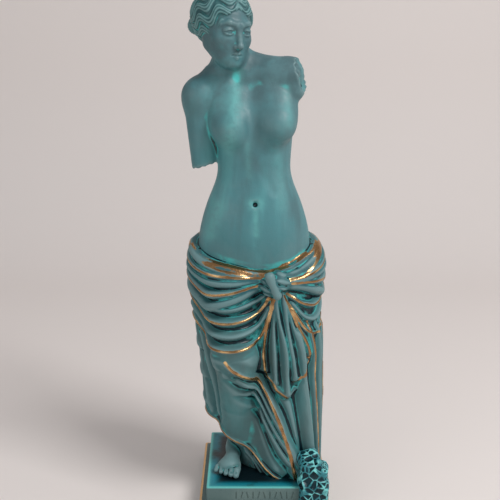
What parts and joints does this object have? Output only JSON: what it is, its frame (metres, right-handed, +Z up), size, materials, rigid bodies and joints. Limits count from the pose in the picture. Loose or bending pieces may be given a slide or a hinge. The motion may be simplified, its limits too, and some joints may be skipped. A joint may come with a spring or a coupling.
{
  "type": "aphrodite statue",
  "caption": "Half-draped classical goddess statuette with lost arms, cast in one piece with a low two-step plinth, for standing on a shelf or table.",
  "frame": {"origin": "centre of the plinth's flat underside, on the surface the statue stands on", "axes": "+Z up, the plinth's front and the figure's front towards -Y, +X to the viewer's right"},
  "size_m": [0.0881, 0.0849, 0.3116],
  "materials": {
    "patina": "verdigris paint with gold edges over cast plaster, satin to matte"
  },
  "bodies": {
    "root": {"statue": "patina"}
  },
  "joints": []
}
